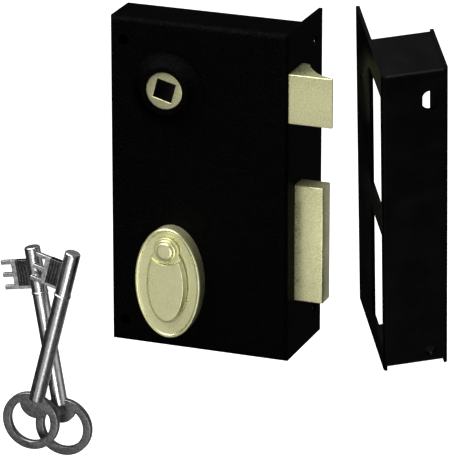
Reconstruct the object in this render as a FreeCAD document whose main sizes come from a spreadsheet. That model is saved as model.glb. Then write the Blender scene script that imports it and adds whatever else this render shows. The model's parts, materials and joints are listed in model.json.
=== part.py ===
"""Upright rim lock set: cased latch and deadbolt, box keeper and two lever keys.

Frame: the origin is the centre of the lock's door face. +X is the way the bolts are thrown,
+Y goes into the door and +Z is up. "Depth" is the distance in front of the door face (-Y).
"""
import FreeCAD, Part
import math
import os
import Sketcher
from FreeCAD import Placement, Rotation, Vector

DIMENSIONS = {
    # case: a pressed cover with a long forend flange, closed by a back plate
    "case_width": 77.0,
    "case_height": 140.0,
    "case_depth": 20.5,
    "sheet_thickness": 1.5,
    "fold_radius": 2.5,
    "flange_reach": 21.0,
    "plate_thickness": 1.2,
    "plate_gap": 0.1,
    "fixing_inset": 6.2,
    "fixing_drop": 9.5,
    "fixing_hole_dia": 4.5,
    "flange_hole_set": 13.5,
    "flange_hole_drop": 12.0,
    "pillar_dia": 7.0,
    "pillar_inset": 9.0,
    "pillar_drop": 7.5,
    "pillar_bore": 9.0,
    "screw_dia": 3.4,
    "screw_head_dia": 5.8,
    "screw_sink": 0.8,
    "screw_length": 8.0,
    # follower and the boss that carries it
    "spindle_inset": 25.3,
    "spindle_drop": 28.0,
    "hub_dia": 16.0,
    "spindle_square": 8.1,
    "spindle_turn": 15.0,
    "hub_recess": 0.8,
    "hub_chamfer": 0.5,
    "boss_dia": 31.6,
    "boss_rise": 4.4,
    "boss_step": 0.7,
    "boss_slope": 4.8,
    "boss_shoulder": 3.6,
    "boss_rim": 6.2,
    "boss_wall": 1.5,
    "running_gap": 0.08,
    "arm_length": 21.0,
    "arm_ring_dia": 22.0,
    "arm_depth": 9.2,
    "arm_thickness": 4.0,
    "arm_tip_dia": 4.0,
    # latch
    "latch_rise": 20.8,
    "latch_offset": 0.7,
    "latch_front": 18.3,
    "latch_thickness": 16.8,
    "latch_nose": 1.2,
    "latch_rear": 8.5,
    "latch_overlap": 6.5,
    "latch_throw": 18.4,
    "latch_tail_back": 5.0,
    "latch_tail_thickness": 3.0,
    "latch_tail_half": 7.0,
    "lug_thickness": 2.0,
    "lug_reach": 5.5,
    "spring_anchor": 14.2,
    "anchor_thickness": 2.0,
    "anchor_half": 5.0,
    "anchor_depth": 9.4,
    "spring_wire_dia": 0.8,
    "spring_dia": 7.2,
    "spring_turns": 9.0,
    "spring_depth": 14.0,
    # deadbolt and levers
    "deadbolt_rise": 49.8,
    "deadbolt_drop": 66.4,
    "deadbolt_front": 10.4,
    "deadbolt_thickness": 8.9,
    "deadbolt_rear": 6.5,
    "deadbolt_overlap": 4.5,
    "deadbolt_edge": 0.5,
    "deadbolt_throw": 12.0,
    "tail_thickness": 3.0,
    "tail_top": -7.0,
    "tail_bottom": -29.0,
    "talon_top": -24.5,
    "guide_z": -16.0,
    "stump_x": 8.0,
    "stump_z": -18.0,
    "window_gap": 0.4,
    "pin_dia": 4.0,
    "pivot_dia": 5.0,
    "pivot_inset": 7.5,
    "stop_pin_x": 8.0,
    "stop_pin_z": 13.1,
    "lever_thickness": 1.6,
    "lever_pitch": 1.85,
    "lever_lift": 6.0,
    "gate_gap": 0.8,
    "leaf_set": 0.1,
    "leaf_thickness": 0.4,
    # escutcheon and swivel cover
    "escutcheon_inset": 27.4,
    "escutcheon_height": 109.8,
    "oval_length": 47.6,
    "oval_width": 28.8,
    "oval_thickness": 6.5,
    "field_recess": 0.35,
    "oval_edge": 0.9,
    "bead_width": 1.1,
    "pivot_rise": 14.8,
    "oval_rivet_rise": 19.5,
    "oval_rivet_sink": 3.0,
    "keyhole_rise": 2.5,
    "keyhole_dia": 7.6,
    "ward_width": 3.4,
    "ward_drop": 15.9,
    "cover_width": 17.8,
    "cover_length": 33.6,
    "cover_drop": 14.8,
    "cover_horn": 6.6,
    "tab_thickness": 0.8,
    "cover_gap": 0.3,
    "cover_thickness": 1.8,
    "head_dia": 9.2,
    "head_thickness": 0.9,
    "dome_dia": 7.4,
    "dome_rise": 2.0,
    "rivet_dia": 3.2,
    # keeper
    "keeper_width": 26.4,
    "keeper_height": 149.0,
    "keeper_box": 26.2,
    "keeper_reach": 47.5,
    "keeper_fold": 2.2,
    "cap_sink": 1.1,
    "slot_start": 2.4,
    "slot_reach": 22.5,
    "slot_height": 57.5,
    "slot_bridge": 11.0,
    "keeper_hole_inset": 8.0,
    "face_hole_inset": 7.2,
    "face_hole_top": 14.5,
    "face_hole_foot": 7.8,
    "face_hole_width": 6.0,
    "face_hole_length": 3.4,
    # keys
    "shank_dia": 6.8,
    "shank_length": 70.8,
    "bow_drop": 80.6,
    "bow_dia": 25.5,
    "bow_hole_dia": 18.2,
    "bow_thickness": 2.8,
    "bit_drop": 5.6,
    "bit_rise": 12.8,
    "bit_reach": 12.0,
    "bit_thickness": 2.0,
    "bit_block_rise": 11.3,
    "bit_block_reach": 5.2,
    "bit_block_thickness": 3.0,
    "collar_rise": 0.25,
    "collar_width": 1.2,
    "tip_chamfer": 0.8,
}

doc = FreeCAD.newDocument("RimLock")
sheet = doc.addObject("Spreadsheet::Sheet", "Sizes")
for row, (alias, value) in enumerate(DIMENSIONS.items(), start=1):
    sheet.set(f"A{row}", alias)
    sheet.set(f"B{row}", str(value))
    sheet.setAlias(f"B{row}", alias)
doc.recompute()


class Size:
    """A length that carries both its value and the spreadsheet formula behind it."""

    def __init__(self, value, formula):
        self.value = value
        self.formula = formula

    def joined(self, sign, other, value):
        return Size(value, f"({self.formula} {sign} {formula_of(other)})")

    def __add__(self, other):
        return self.joined("+", other, self.value + value_of(other))

    def __sub__(self, other):
        return self.joined("-", other, self.value - value_of(other))

    def __mul__(self, other):
        return self.joined("*", other, self.value * value_of(other))

    def __truediv__(self, other):
        return self.joined("/", other, self.value / value_of(other))

    def __neg__(self):
        return Size(-self.value, f"(-1 * {self.formula})")

    def __radd__(self, other):
        return self + other

    def __rsub__(self, other):
        return -self + other


def value_of(number):
    return number.value if isinstance(number, Size) else float(number)


def formula_of(number):
    return number.formula if isinstance(number, Size) else f"({float(number):.6f})"


def size(alias):
    return Size(DIMENSIONS[alias], f"Sizes.{alias}")


# ---------------------------------------------------------------- sketch and feature helpers

sub_parts = []


def keep(feature, label):
    """Name a finished sub-part and add it to the parts that are written out."""
    feature.Label = label
    sub_parts.append(feature)
    return feature


def new_body(label):
    return keep(doc.addObject("PartDesign::Body", label), label)


def sketch_on(body, plane, height=0.0, shift_x=0.0):
    """A sketch on one of the body's own planes, lifted by height along the plane's normal."""
    sketch = body.newObject("Sketcher::SketchObject", "Sketch")
    origin_plane = next(f for f in body.Origin.OriginFeatures if f.Role == plane)
    sketch.AttachmentSupport = (origin_plane, [""])
    sketch.MapMode = "FlatFace"
    sketch.AttachmentOffset = Placement(Vector(value_of(shift_x), 0, value_of(height)), Rotation())
    for axis, shift in (("x", shift_x), ("z", height)):
        if isinstance(shift, Size):
            sketch.setExpression(f"AttachmentOffset.Base.{axis}", shift.formula)
    return sketch


def front_sketch(body, depth=0.0):
    """A sketch seen from the front (X, Z), at a distance in front of the door face."""
    return sketch_on(body, "XZ_Plane", depth)


def hold(sketch, kind, *where, to=0.0):
    """Add one dimension and bind it to the spreadsheet if it has a formula."""
    index = sketch.addConstraint(Sketcher.Constraint(kind, *where, value_of(to)))
    if isinstance(to, Size):
        sketch.setExpression(f"Constraints[{index}]", to.formula)


def pin_point(sketch, edge, end, x, y):
    hold(sketch, "DistanceX", -1, 1, edge, end, to=x)
    hold(sketch, "DistanceY", -1, 1, edge, end, to=y)


def arc_edge(start, end, bulge):
    """The arc between two points. It turns left for a positive bulge, right for a negative one."""
    chord = end - start
    half_turn = 2 * math.atan(bulge)
    across = Vector(-chord.y, chord.x, 0) * (0.5 / math.tan(half_turn))
    centre = (start + end) * 0.5 + across
    first, last = (start, end) if bulge > 0 else (end, start)
    angles = [math.atan2(p.y - centre.y, p.x - centre.x) for p in (first, last)]
    ring = Part.Circle(centre, Vector(0, 0, 1), (start - centre).Length)
    return Part.ArcOfCircle(ring, angles[0], angles[1])


def hold_centre(sketch, edge, end):
    """Fix how far an arc's centre lies to the side of its chord, measured from one end."""
    chord = sketch.getPoint(edge, 2) - sketch.getPoint(edge, 1)
    offset = sketch.getPoint(edge, 3) - sketch.getPoint(edge, end)
    if abs(chord.x) > abs(chord.y):
        hold(sketch, "DistanceY", edge, end, edge, 3, to=offset.y)
    else:
        hold(sketch, "DistanceX", edge, end, edge, 3, to=offset.x)


def outline(sketch, points):
    """A closed outline. A point (x, y, bulge) starts an arc; bulge is 2 x sagitta / chord."""
    corners = [Vector(value_of(p[0]), value_of(p[1]), 0) for p in points]
    edges, ends = [], []
    for i, point in enumerate(points):
        start, end = corners[i], corners[(i + 1) % len(points)]
        bulge = point[2] if len(point) == 3 else 0.0
        shape = arc_edge(start, end, bulge) if bulge else Part.LineSegment(start, end)
        edges.append(sketch.addGeometry(shape, False))
        ends.append((2, 1) if bulge < 0 else (1, 2))
    for i, edge in enumerate(edges):
        following = (i + 1) % len(edges)
        sketch.addConstraint(
            Sketcher.Constraint("Coincident", edge, ends[i][1], edges[following], ends[following][0])
        )
        pin_point(sketch, edge, ends[i][0], points[i][0], points[i][1])
        if len(points[i]) == 3:
            hold_centre(sketch, edge, ends[i][0])


def rectangle(sketch, x0, x1, y0, y1):
    outline(sketch, [(x0, y0), (x1, y0), (x1, y1), (x0, y1)])


def circle(sketch, x, y, diameter):
    centre = Vector(value_of(x), value_of(y), 0)
    radius = diameter / 2
    edge = sketch.addGeometry(Part.Circle(centre, Vector(0, 0, 1), value_of(radius)), False)
    pin_point(sketch, edge, 3, x, y)
    hold(sketch, "Radius", edge, to=radius)


def slot(sketch, x0, y0, x1, y1, width):
    """A round-ended slot from one centre to the other."""
    dx, dy = value_of(x1) - value_of(x0), value_of(y1) - value_of(y0)
    across, along = -dy / math.hypot(dx, dy), dx / math.hypot(dx, dy)
    nx, ny = width * (across / 2), width * (along / 2)
    outline(sketch, [(x0 - nx, y0 - ny), (x1 - nx, y1 - ny, 1.0),
                     (x1 + nx, y1 + ny), (x0 + nx, y0 + ny, 1.0)])


def bind_length(feature, length):
    feature.Length = value_of(length)
    if isinstance(length, Size):
        feature.setExpression("Length", length.formula)


def pad(body, sketch, length):
    feature = body.newObject("PartDesign::Pad", "Pad")
    feature.Profile = sketch
    bind_length(feature, length)
    doc.recompute()
    return feature


def cut(body, sketch, length):
    """Cut along the sketch's normal, and make sure that something was cut."""
    before = body.Shape.Volume
    feature = body.newObject("PartDesign::Pocket", "Pocket")
    feature.Profile = sketch
    feature.Reversed = True
    bind_length(feature, length)
    doc.recompute()
    if body.Shape.Volume > before - 0.01:
        raise RuntimeError(f"{body.Label}: a pocket cut nothing")
    return feature


def spin(body, kind, sketch):
    feature = body.newObject(f"PartDesign::{kind}", "Turn")
    feature.Profile = sketch
    feature.ReferenceAxis = (sketch, ["V_Axis"])
    feature.Angle = 360.0
    doc.recompute()
    return feature


def round_edges(body, radius, wanted, kind="Fillet"):
    """Round or chamfer the edges of the body that the test picks out."""
    names = [f"Edge{i}" for i, edge in enumerate(body.Shape.Edges, start=1) if wanted(edge)]
    if not names:
        raise RuntimeError(f"{body.Label}: no edge to round")
    base = body.Tip
    feature = body.newObject(f"PartDesign::{kind}", kind)
    feature.Base = (base, names)
    prop = "Radius" if kind == "Fillet" else "Size"
    setattr(feature, prop, value_of(radius))
    if isinstance(radius, Size):
        feature.setExpression(prop, radius.formula)
    doc.recompute()
    return feature


def turned(label, x, z, profile, kept=True):
    """A piece turned about an axis along Y. The profile is (radius, depth) points."""
    body = new_body(label) if kept else doc.addObject("PartDesign::Body", label)
    sketch = sketch_on(body, "XY_Plane", z, shift_x=x)
    outline(sketch, [(r, -d if isinstance(d, Size) else -float(d)) + tuple(b)
                     for r, d, *b in profile])
    spin(body, "Revolution", sketch)
    return body


def pin(label, x, z, diameter, start, end, kept=True):
    radius = diameter / 2
    return turned(label, x, z, [(0, start), (radius, start), (radius, end), (0, end)], kept)


def group(label, pieces):
    compound = doc.addObject("Part::Compound", label)
    compound.Links = pieces
    return keep(compound, label)


def at_depth(edge, depth, tolerance=0.01):
    """Is the whole edge in one plane at this distance in front of the door face?"""
    box = edge.BoundBox
    return abs(box.YMin + depth) < tolerance and abs(box.YMax + depth) < tolerance


# ---------------------------------------------------------------- places worked out once

sheet_t = size("sheet_thickness")
left = -size("case_width") / 2
right = size("case_width") / 2
top = size("case_height") / 2
bottom = -size("case_height") / 2
front = size("case_depth")
inner_front = front - sheet_t
plate_front = size("plate_thickness")

spindle_x = left + size("spindle_inset")
spindle_z = top - size("spindle_drop")
hub_radius = size("hub_dia") / 2
boss_top = front + size("boss_rise")

oval_x = left + size("escutcheon_inset")
oval_z = top - size("escutcheon_height")
cover_x = oval_x
cover_z = oval_z + size("pivot_rise")
key_x = oval_x
key_z = oval_z + size("keyhole_rise")

fixing_x = left + size("fixing_inset")
fixing_zs = (top - size("fixing_drop"), bottom + size("fixing_drop"))
flange_hole_y = size("flange_hole_set")
flange_hole_zs = (top - size("flange_hole_drop"), bottom + size("flange_hole_drop"))
pillar_inset, pillar_drop = size("pillar_inset"), size("pillar_drop")
pillar_places = [(spindle_x, top - pillar_drop), (right - pillar_inset, top - pillar_drop),
                 (left + pillar_inset * 2, bottom + pillar_drop),
                 (right - pillar_inset, bottom + pillar_drop)]

latch_back = size("latch_front") - size("latch_thickness")
latch_middle = spindle_z + size("latch_offset")
latch_top = latch_middle + size("latch_rise") / 2
latch_bottom = latch_middle - size("latch_rise") / 2
latch_nose = right + size("latch_throw")
deadbolt_top = top - size("deadbolt_drop")
deadbolt_bottom = deadbolt_top - size("deadbolt_rise")
deadbolt_back = size("deadbolt_front") - size("deadbolt_thickness")
deadbolt_nose = right + size("deadbolt_throw")

rivet_seats = ((oval_x, oval_z + size("oval_rivet_rise")), (oval_x, oval_z - size("oval_rivet_rise")))
through = 0.5


def ring_gap(radius, half):
    """Where a ring meets a straight slot of that half width: the drop to it and the arc's bulge."""
    sweep = 2 * math.pi - 2 * math.asin(value_of(half) / value_of(radius))
    return math.sqrt(value_of(radius) ** 2 - value_of(half) ** 2), math.tan(sweep / 4)


def cut_keyhole(body, depth, length):
    """Round hole for the shank with a slot below it for the bit."""
    sketch = front_sketch(body, depth)
    half, foot = size("ward_width") / 2, key_z - size("ward_drop")
    rise, bulge = ring_gap(size("keyhole_dia") / 2, half)
    outline(sketch, [(key_x - half, key_z - rise), (key_x - half, foot),
                     (key_x + half, foot), (key_x + half, key_z - rise, bulge)])
    cut(body, sketch, length)


def cut_holes(body, depth, length, places, diameter):
    """Round holes through a part, cut along the depth."""
    sketch = front_sketch(body, depth)
    for x, z in places:
        circle(sketch, x, z, diameter)
    cut(body, sketch, length)


# ---------------------------------------------------------------- case


def make_case_shell():
    """The pressed cover: front, four sides, the forend flange and the spindle boss."""
    body = new_body("case_shell")
    block = front_sketch(body)
    rectangle(block, left, right, bottom, top)
    pad(body, block, front)
    round_edges(body, size("fold_radius"), lambda edge: at_depth(edge, value_of(front)))

    boss = sketch_on(body, "XY_Plane", spindle_z, shift_x=spindle_x)
    base = size("boss_dia") / 2
    rim = base - size("boss_rim")
    step = front + size("boss_step")
    outline(boss, [(0, -inner_front), (base, -inner_front), (base, -step),
                   (base - size("boss_step"), -step, 0.14),
                   (base - size("boss_slope"), -front - size("boss_shoulder"), -0.25),
                   (rim, -boss_top), (0, -boss_top)])
    spin(body, "Revolution", boss)

    hollow = front_sketch(body)
    rectangle(hollow, left + sheet_t, right - sheet_t, bottom + sheet_t, top - sheet_t)
    cut(body, hollow, inner_front)
    wall = size("boss_wall")
    boss_hollow = sketch_on(body, "XY_Plane", spindle_z, shift_x=spindle_x)
    outline(boss_hollow, [(0, -inner_front + 0.1), (base - wall, -inner_front + 0.1),
                          (base - wall, -inner_front), (rim + wall / 2, -boss_top + wall * 1.6),
                          (rim - wall / 2, -boss_top + wall), (0, -boss_top + wall)])
    spin(body, "Groove", boss_hollow)

    flange = sketch_on(body, "YZ_Plane", right - sheet_t)
    reach = size("flange_reach")
    rectangle(flange, 0.0, reach, bottom, top)
    pad(body, flange, sheet_t)

    inside, depth = inner_front - through, sheet_t + through * 2
    cut_holes(body, inside, boss_top - inner_front + through * 2, [(spindle_x, spindle_z)],
              size("hub_dia") + size("running_gap") * 2)
    cut_holes(body, inside, depth, [(fixing_x, z) for z in fixing_zs], size("fixing_hole_dia"))
    cut_holes(body, inside, depth, rivet_seats, size("rivet_dia"))
    cut_keyhole(body, inside, depth)

    gap = size("window_gap")
    windows = sketch_on(body, "YZ_Plane", right - sheet_t - through)
    rectangle(windows, -size("latch_front") - gap, -latch_back + gap,
              latch_bottom - gap, latch_top + gap)
    rectangle(windows, -size("deadbolt_front") - gap, -deadbolt_back + gap,
              deadbolt_bottom - gap, deadbolt_top + gap)
    cut(body, windows, depth)
    screws = sketch_on(body, "YZ_Plane", right - sheet_t - through)
    for z in flange_hole_zs:
        circle(screws, flange_hole_y, z, size("fixing_hole_dia"))
    cut(body, screws, depth)


def make_back_plate():
    """The flat plate that closes the case against the door."""
    body = new_body("back_plate")
    inset = sheet_t + size("plate_gap")
    plate = front_sketch(body)
    rectangle(plate, left + inset, right - inset, bottom + inset, top - inset)
    pad(body, plate, plate_front)
    depth = plate_front + through * 2
    cut_holes(body, -through, depth, [(spindle_x, spindle_z)],
              size("hub_dia") + size("running_gap") * 2)
    cut_holes(body, -through, depth, [(fixing_x, z) for z in fixing_zs], size("fixing_hole_dia"))
    cut_holes(body, -through, depth, pillar_places, size("screw_dia"))
    cut_holes(body, -through, size("screw_sink") + through, pillar_places, size("screw_head_dia"))
    cut_keyhole(body, -through, depth)


def make_pillars_and_screws():
    """Four posts standing on the cover's inside, each with a flush plate screw."""
    pillars, screws = [], []
    outer, core = size("pillar_dia") / 2, size("screw_dia") / 2
    head, sink = size("screw_head_dia") / 2, size("screw_sink")
    flush = 0.05
    bore, end = plate_front + size("pillar_bore"), plate_front + size("screw_length")
    for number, (x, z) in enumerate(pillar_places, start=1):
        pillars.append(turned(f"pillar_{number}", x, z, [
            (core, plate_front), (outer, plate_front), (outer, inner_front),
            (0, inner_front), (0, bore), (core, bore)], kept=False))
        screws.append(turned(f"screw_{number}", x, z, [
            (0, flush), (head, flush), (head, sink), (core, sink), (core, end),
            (0, end + core / 3)], kept=False))
    group("spacer_pillars", pillars)
    group("back_plate_screws", screws)


# ---------------------------------------------------------------- follower and latch


def make_follower():
    """The hub that the spindle turns, and the steel arm that draws the latch."""
    hub = new_body("follower_hub")
    hub_front = boss_top - size("hub_recess")
    disc = front_sketch(hub)
    circle(disc, spindle_x, spindle_z, size("hub_dia"))
    pad(hub, disc, hub_front)
    hole = front_sketch(hub, -through)
    corner = size("spindle_square") * (math.sqrt(2) / 2)
    angles = [math.radians(45 + 90 * i - DIMENSIONS["spindle_turn"]) for i in range(4)]
    outline(hole, [(spindle_x + corner * math.cos(a), spindle_z + corner * math.sin(a))
                   for a in angles])
    cut(hub, hole, hub_front + through * 2)
    square_reach = value_of(corner) * 2
    round_edges(hub, size("hub_chamfer"), lambda edge: at_depth(edge, value_of(hub_front))
                and edge.BoundBox.XLength > square_reach, "Chamfer")

    arm = new_body("follower_arm")
    tip = size("arm_tip_dia") / 2
    shape = front_sketch(arm, size("arm_depth"))
    foot = spindle_z - size("arm_length")
    drop, bulge = ring_gap(size("arm_ring_dia") / 2, tip)
    outline(shape, [(spindle_x - tip, foot, 1.0), (spindle_x + tip, foot),
                    (spindle_x + tip, spindle_z - drop, bulge),
                    (spindle_x - tip, spindle_z - drop)])
    pad(arm, shape, size("arm_thickness"))
    cut_holes(arm, size("arm_depth") - through, size("arm_thickness") + through * 2,
              [(spindle_x, spindle_z)], size("hub_dia"))


def make_latch():
    """The bevelled head, its forked tail with the drive lug, the rivets and the spring."""
    front_y, back_y = -size("latch_front"), -latch_back
    thickness = size("latch_tail_thickness")
    slot_back = size("latch_tail_back")
    slot_front = slot_back + thickness
    rear = right - size("latch_rear")
    overlap = rear + size("latch_overlap")

    head = new_body("latch_head")
    plan = sketch_on(head, "XY_Plane", latch_bottom)
    outline(plan, [(rear, front_y), (latch_nose, front_y),
                   (latch_nose, front_y + size("latch_nose")),
                   (latch_nose - 5.4, front_y + 3.6, -0.08), (latch_nose - 12.2, front_y + 10.6, -0.06),
                   (right + 3.7, back_y - 1.8, 0.12), (right + 2.3, back_y - 0.3, 0.3),
                   (right + 1.4, back_y), (rear, back_y)])
    pad(head, plan, size("latch_rise"))
    groove = front_sketch(head, slot_back)
    rectangle(groove, rear - through, overlap, latch_bottom - through, latch_top + through)
    cut(head, groove, thickness)
    half = size("latch_tail_half")
    seats = [(rear + size("rivet_dia"), latch_middle + half / 2),
             (rear + size("rivet_dia"), latch_middle - half / 2)]
    cut_holes(head, 0.0, slot_front + thickness, seats, size("rivet_dia"))

    tail = new_body("latch_tail")
    fork = hub_radius + 0.6
    end = left + sheet_t + size("latch_throw") + 0.6
    crotch = spindle_x + hub_radius + size("latch_throw") + 1.0
    lug_foot = spindle_z - size("arm_length") - 2.6
    lug = size("lug_thickness")
    under = spindle_z - fork - lug * 2
    over = spindle_z + fork + thickness
    plate = front_sketch(tail, slot_back)
    outline(plate, [
        (end, spindle_z + fork), (crotch, spindle_z + fork), (crotch, spindle_z - fork),
        (end, spindle_z - fork), (end, lug_foot), (end + lug * 3, lug_foot),
        (end + lug * 4.5, under), (crotch + lug * 3, under),
        (rear - 0.5, spindle_z - half), (overlap, spindle_z - half), (overlap, spindle_z + half),
        (rear - 0.5, spindle_z + half), (crotch + lug * 3, over), (end, over)])
    pad(tail, plate, thickness)
    post = front_sketch(tail, slot_front)
    rectangle(post, end, end + lug, lug_foot, under + 0.8)
    pad(tail, post, size("lug_reach"))
    cut_holes(tail, slot_back - through, thickness + through * 2, seats, size("rivet_dia"))

    group("latch_rivets", [pin(f"latch_rivet_{i}", x, z, size("rivet_dia"),
                               latch_back, slot_front + thickness, kept=False)
                           for i, (x, z) in enumerate(seats, start=1)])

    anchor = new_body("spring_anchor")
    tab = front_sketch(anchor, size("anchor_depth"))
    anchor_x = spindle_x + size("spring_anchor")
    anchor_end = anchor_x + size("anchor_thickness")
    rectangle(tab, anchor_x, anchor_end, spindle_z - size("anchor_half"), spindle_z + size("anchor_half"))
    pad(anchor, tab, inner_front - size("anchor_depth"))
    return anchor_end, rear


def make_latch_spring(start_x, end_x):
    """A compression spring between the anchor tab and the back of the latch head."""
    wire, coil = size("spring_wire_dia"), size("spring_dia") / 2 - size("spring_wire_dia") / 2
    slack = 0.05
    start = start_x + wire / 2 + slack
    length = end_x - start_x - wire - slack * 2
    spring = new_body("latch_spring")
    section = sketch_on(spring, "XZ_Plane")
    circle(section, coil, 0.0, wire)
    helix = spring.newObject("PartDesign::AdditiveHelix", "Coil")
    helix.Profile = section
    helix.ReferenceAxis = (section, ["V_Axis"])
    helix.Mode = "pitch-height-angle"
    for prop, amount in (("Height", length), ("Pitch", length / size("spring_turns"))):
        setattr(helix, prop, value_of(amount))
        helix.setExpression(prop, amount.formula)
    spring.Placement = Placement(
        Vector(value_of(start), -value_of(size("spring_depth")), value_of(spindle_z)),
        Rotation(Vector(0, 1, 0), 90))
    doc.recompute()


# ---------------------------------------------------------------- deadbolt and levers

pivot_x = left + size("pivot_inset")
pivot_z = Size(0.0, "(0)")
stump_x = size("stump_x")
stump_z = size("stump_z")
tail_back = size("deadbolt_front") - size("tail_thickness") - 0.2
tail_front = tail_back + size("tail_thickness")
lever_start = size("deadbolt_front") + 0.6


def make_deadbolt():
    """The square head, the steel tail with its key talon, the rivets and the gate stump."""
    rear = right - size("deadbolt_rear")
    overlap = rear + size("deadbolt_overlap")
    thickness, tail_top, tail_bottom = size("tail_thickness"), size("tail_top"), size("tail_bottom")
    head = new_body("deadbolt_head")
    block = front_sketch(head, deadbolt_back)
    rectangle(block, rear, deadbolt_nose, deadbolt_bottom, deadbolt_top)
    pad(head, block, size("deadbolt_thickness"))
    step = front_sketch(head, tail_back)
    rectangle(step, rear - through, overlap, tail_bottom, tail_top)
    cut(head, step, size("deadbolt_thickness"))
    rivet_x = rear + size("deadbolt_overlap") / 2
    seats = [(rivet_x, tail_top - size("rivet_dia") * 2), (rivet_x, tail_bottom + size("rivet_dia") * 2)]
    cut_holes(head, 0.0, tail_back + through * 2, seats, size("rivet_dia"))
    round_edges(head, size("deadbolt_edge"),
                lambda edge: edge.BoundBox.XMin > value_of(deadbolt_nose) - 0.01)

    tail = new_body("deadbolt_tail")
    plate = front_sketch(tail, tail_back)
    talon_x = key_x + size("deadbolt_throw") / 2
    end = left + sheet_t + size("deadbolt_throw") + 0.5
    outline(plate, [(end, tail_bottom), (talon_x - 6.5, tail_bottom),
                    (talon_x - 5.0, size("talon_top")), (talon_x + 5.0, size("talon_top")),
                    (talon_x + 6.5, tail_bottom), (overlap, tail_bottom), (overlap, tail_top),
                    (end, tail_top)])
    pad(tail, plate, thickness)
    behind, depth = tail_back - through, thickness + through * 2
    guide_x = end + size("pin_dia") * 1.25
    guide = front_sketch(tail, behind)
    slot(guide, guide_x, size("guide_z"), guide_x + size("deadbolt_throw"), size("guide_z"),
         size("pin_dia") + size("gate_gap"))
    cut(tail, guide, depth)
    cut_holes(tail, behind, depth, seats, size("rivet_dia"))
    cut_holes(tail, behind, depth, [(stump_x, stump_z)], size("pin_dia"))

    group("deadbolt_rivets", [pin(f"deadbolt_rivet_{i}", x, z, size("rivet_dia"),
                                  deadbolt_back, tail_front, kept=False)
                              for i, (x, z) in enumerate(seats, start=1)])
    pin("bolt_stump", stump_x, stump_z, size("pin_dia"), tail_back, inner_front - 0.5)
    pin("tail_guide_pin", guide_x, size("guide_z"), size("pin_dia"), plate_front, lever_start - 0.5)


def make_levers():
    """Four levers on one pivot pin, each with its own leaf spring under a shared stop pin."""
    lift = math.radians(DIMENSIONS["lever_lift"])
    reach_x = stump_x - size("deadbolt_throw") - pivot_x
    reach_z = stump_z - pivot_z
    gate_x = pivot_x + reach_x * math.cos(lift) + reach_z * math.sin(lift)
    gate_z = pivot_z - reach_x * math.sin(lift) + reach_z * math.cos(lift)
    gate_width = size("pin_dia") + size("gate_gap") * 2
    for number in range(4):
        back = lever_start + size("lever_pitch") * number
        lever = new_body(f"lever_{number + 1}")
        plate = front_sketch(lever, back)
        outline(plate, [
            (pivot_x - 5.2, -2.0), (pivot_x - 2.0, -9.0), (pivot_x + 5.0, -22.0),
            (key_x - 6.0, -30.5, 0.2), (key_x + 14.0, -30.5), (24.0, -25.0, 0.3),
            (24.0, -4.0), (20.0, -1.0), (-8.0, 4.8), (pivot_x + 2.0, 5.2, 0.5)])
        thickness = size("lever_thickness")
        pad(lever, plate, thickness)
        behind, depth = back - through / 5, thickness + through * 2 / 5
        gate = front_sketch(lever, behind)
        slot(gate, stump_x, stump_z, gate_x, gate_z, gate_width)
        cut(lever, gate, depth)
        cut_holes(lever, behind, depth, [(pivot_x, pivot_z)], size("pivot_dia") + 0.1)
        leaf = new_body(f"lever_spring_{number + 1}")
        strip = front_sketch(leaf, back + size("leaf_set"))
        leaf_x, leaf_z = pivot_x + 5.0, 5.15
        tip_x, tip_z = size("stop_pin_x") + 1.0, size("stop_pin_z") - 2.6
        outline(strip, [(leaf_x, leaf_z, -0.08), (tip_x, tip_z),
                        (tip_x, tip_z + size("leaf_thickness"), 0.08),
                        (leaf_x, leaf_z + size("leaf_thickness"))])
        pad(leaf, strip, thickness - size("leaf_set") * 2)
    pin("lever_pivot", pivot_x, pivot_z, size("pivot_dia"), plate_front, inner_front)
    pin("spring_stop_pin", size("stop_pin_x"), size("stop_pin_z"), size("pin_dia"),
        plate_front, inner_front)


# ---------------------------------------------------------------- escutcheon and swivel cover


def oval(label, long_axis, short_axis, depth, thickness):
    """An upright oval slab with its back at a depth in front of the door face."""
    edge = doc.addObject("Part::Ellipse", f"{label}_edge")
    edge.MajorRadius = value_of(long_axis) / 2
    edge.setExpression("MajorRadius", (long_axis / 2).formula)
    edge.MinorRadius = value_of(short_axis) / 2
    edge.setExpression("MinorRadius", (short_axis / 2).formula)
    upright = Rotation(Vector(0, 0, 1), Vector(-1, 0, 0), Vector(0, -1, 0), "ZXY")
    edge.Placement = Placement(Vector(value_of(oval_x), -value_of(depth), value_of(oval_z)), upright)
    slab = doc.addObject("Part::Extrusion", label)
    slab.Base = edge
    slab.Dir = Vector(0, -1, 0)
    slab.LengthFwd = value_of(thickness)
    slab.setExpression("LengthFwd", formula_of(thickness))
    slab.Solid = True
    doc.recompute()
    return slab


def subtract(base, tool, label):
    result = doc.addObject("Part::Cut", label)
    result.Base = base
    result.Tool = tool
    doc.recompute()
    return result


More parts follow.
